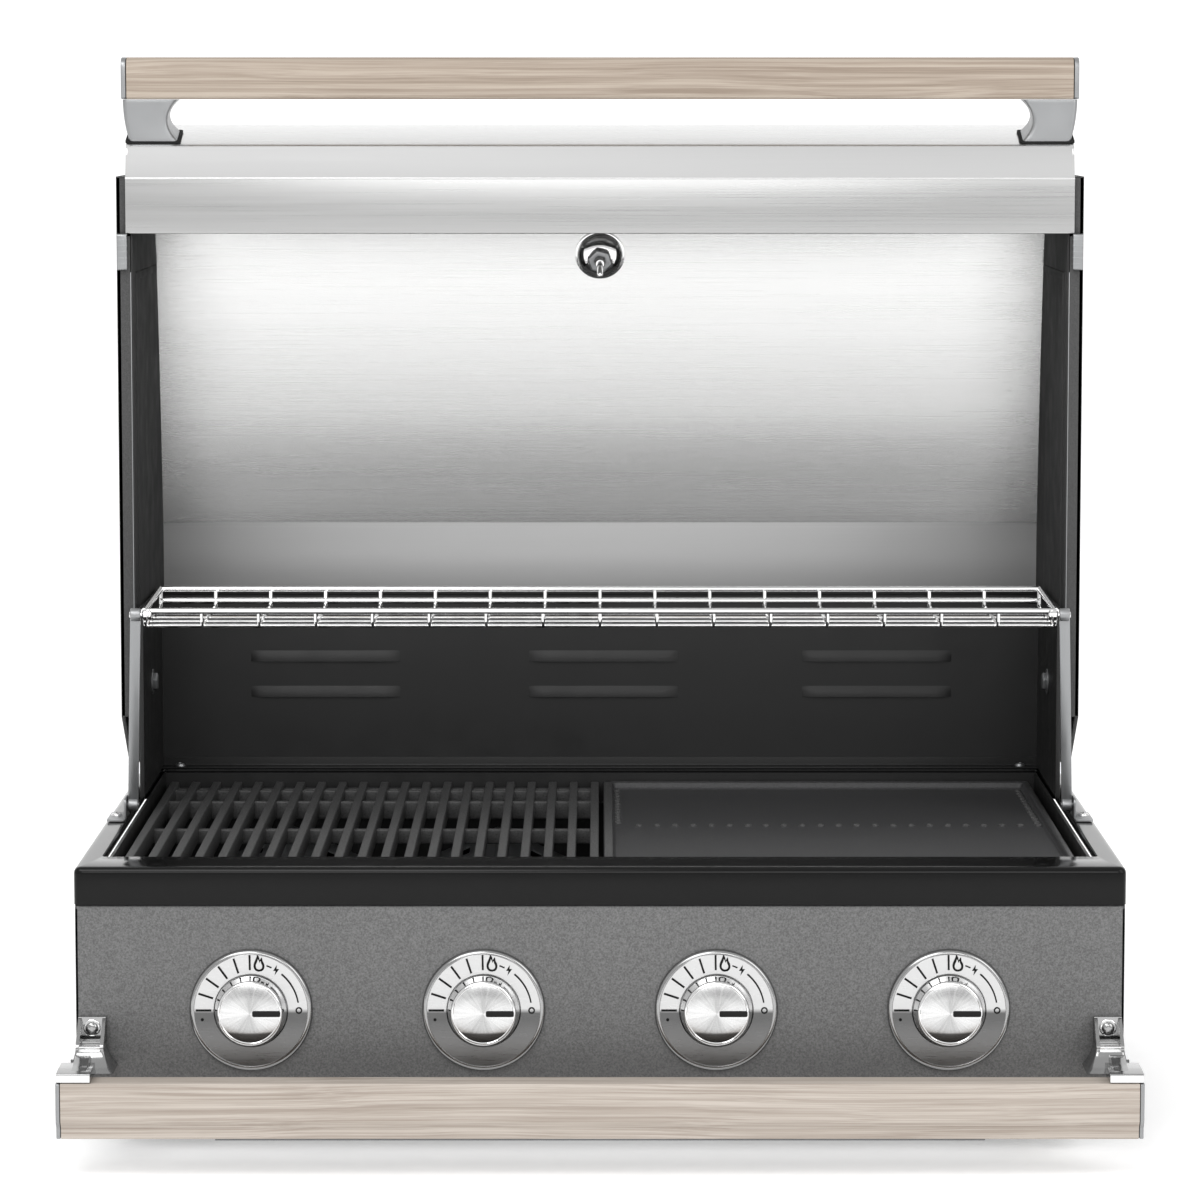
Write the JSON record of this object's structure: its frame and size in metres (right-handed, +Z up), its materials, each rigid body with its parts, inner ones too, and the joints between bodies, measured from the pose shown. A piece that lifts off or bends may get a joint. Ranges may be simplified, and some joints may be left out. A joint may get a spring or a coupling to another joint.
{
  "type": "built-in gas barbecue",
  "caption": "Built-in gas barbecue with a hinged stainless hood, turning control knobs, grill, hotplate, warming rack and wooden rails",
  "frame": {"origin": "middle of the flat underside of the tray housing", "axes": "+X to the right seen from the front, +Y to the rear, +Z up; the control fascia faces -Y; hood shown fully open"},
  "size_m": [0.816, 0.702, 0.841],
  "materials": {
    "black_enamel": "gloss",
    "fascia_paint": "speckled metallic satin",
    "charcoal_paint": "satin",
    "galvanised": "matt",
    "stainless": "brushed",
    "chrome": "polished",
    "silver_metal": "satin",
    "cast_iron": "rough casting",
    "brass": "machined",
    "black_plastic": "moulded",
    "wood": "pale grained wood"
  },
  "bodies": {
    "cook_body": {"firebox": "galvanised", "top_rim": "black_enamel", "control_fascia": "fascia_paint", "rear_upstand": "black_enamel", "hinge_pin_left": "silver_metal", "hinge_pin_right": "silver_metal", "gas_manifold": "silver_metal", "gas_inlet": "brass", "ignition_module": "black_plastic", "tray_housing": "galvanised", "front_rail": "wood", "rail_end_cap_left": "silver_metal", "rail_end_cap_right": "silver_metal", "rail_bracket_left": "chrome", "rail_bracket_right": "chrome", "warming_rack": "chrome", "rack_leg_left": "silver_metal", "rack_leg_right": "silver_metal", "rack_bracket_left": "silver_metal", "rack_bracket_right": "silver_metal", "burner_1": "galvanised", "flame_tamer_1": "galvanised", "gas_valve_1": "brass", "bezel_1": "chrome", "burner_2": "galvanised", "flame_tamer_2": "galvanised", "gas_valve_2": "brass", "bezel_2": "chrome", "burner_3": "galvanised", "flame_tamer_3": "galvanised", "gas_valve_3": "brass", "bezel_3": "chrome", "burner_4": "galvanised", "flame_tamer_4": "galvanised", "gas_valve_4": "brass", "bezel_4": "chrome"},
    "hood": {"hood_skin": "stainless", "hood_side_left": "charcoal_paint", "hood_side_right": "charcoal_paint", "hood_bumper_left": "silver_metal", "hood_bumper_right": "silver_metal", "hood_handle": "wood", "handle_cap_left": "silver_metal", "handle_cap_right": "silver_metal", "handle_post_left": "silver_metal", "handle_post_right": "silver_metal", "thermometer": "chrome", "thermometer_cup": "chrome", "thermometer_nut": "silver_metal"},
    "grill": {"cast_iron_grill": "cast_iron"},
    "griddle": {"hotplate": "cast_iron"},
    "tray": {"drip_tray": "galvanised"},
    "stem_1": {"knob_stem_1": "silver_metal"},
    "dial_1": {"knob_1": "stainless"},
    "stem_2": {"knob_stem_2": "silver_metal"},
    "dial_2": {"knob_2": "stainless"},
    "stem_3": {"knob_stem_3": "silver_metal"},
    "dial_3": {"knob_3": "stainless"},
    "stem_4": {"knob_stem_4": "silver_metal"},
    "dial_4": {"knob_4": "stainless"}
  },
  "joints": [
    {"name": "hood_hinge", "type": "hinge", "parent": "cook_body", "child": "hood", "pos_m": [0, 0.152, 0.313], "axis": [1, 0, 0], "range_deg": [0, 90]},
    {"name": "knob_push_1", "type": "slide", "parent": "cook_body", "child": "stem_1", "axis": [0, 1, 0], "range_m": [0, 0.003], "stiffness_N_per_m": 900, "springref_m": -0.003},
    {"name": "knob_turn_1", "type": "hinge", "parent": "stem_1", "child": "dial_1", "pos_m": [-0.26625, -0.304, 0.116], "axis": [0, -1, 0], "range_deg": [0, 190]},
    {"name": "knob_push_2", "type": "slide", "parent": "cook_body", "child": "stem_2", "axis": [0, 1, 0], "range_m": [0, 0.003], "stiffness_N_per_m": 900, "springref_m": -0.003},
    {"name": "knob_turn_2", "type": "hinge", "parent": "stem_2", "child": "dial_2", "pos_m": [-0.08875, -0.304, 0.116], "axis": [0, -1, 0], "range_deg": [0, 190]},
    {"name": "knob_push_3", "type": "slide", "parent": "cook_body", "child": "stem_3", "axis": [0, 1, 0], "range_m": [0, 0.003], "stiffness_N_per_m": 900, "springref_m": -0.003},
    {"name": "knob_turn_3", "type": "hinge", "parent": "stem_3", "child": "dial_3", "pos_m": [0.08875, -0.304, 0.116], "axis": [0, -1, 0], "range_deg": [0, 190]},
    {"name": "knob_push_4", "type": "slide", "parent": "cook_body", "child": "stem_4", "axis": [0, 1, 0], "range_m": [0, 0.003], "stiffness_N_per_m": 900, "springref_m": -0.003},
    {"name": "knob_turn_4", "type": "hinge", "parent": "stem_4", "child": "dial_4", "pos_m": [0.26625, -0.304, 0.116], "axis": [0, -1, 0], "range_deg": [0, 190]},
    {"name": "grill_lift", "type": "slide", "parent": "cook_body", "child": "grill", "axis": [0, 0, 1], "range_m": [0, 0.05]},
    {"name": "hotplate_lift", "type": "slide", "parent": "cook_body", "child": "griddle", "axis": [0, 0, 1], "range_m": [0, 0.05]},
    {"name": "tray_slide", "type": "slide", "parent": "cook_body", "child": "tray", "axis": [0, -1, 0], "range_m": [0, 0.38]}
  ]
}
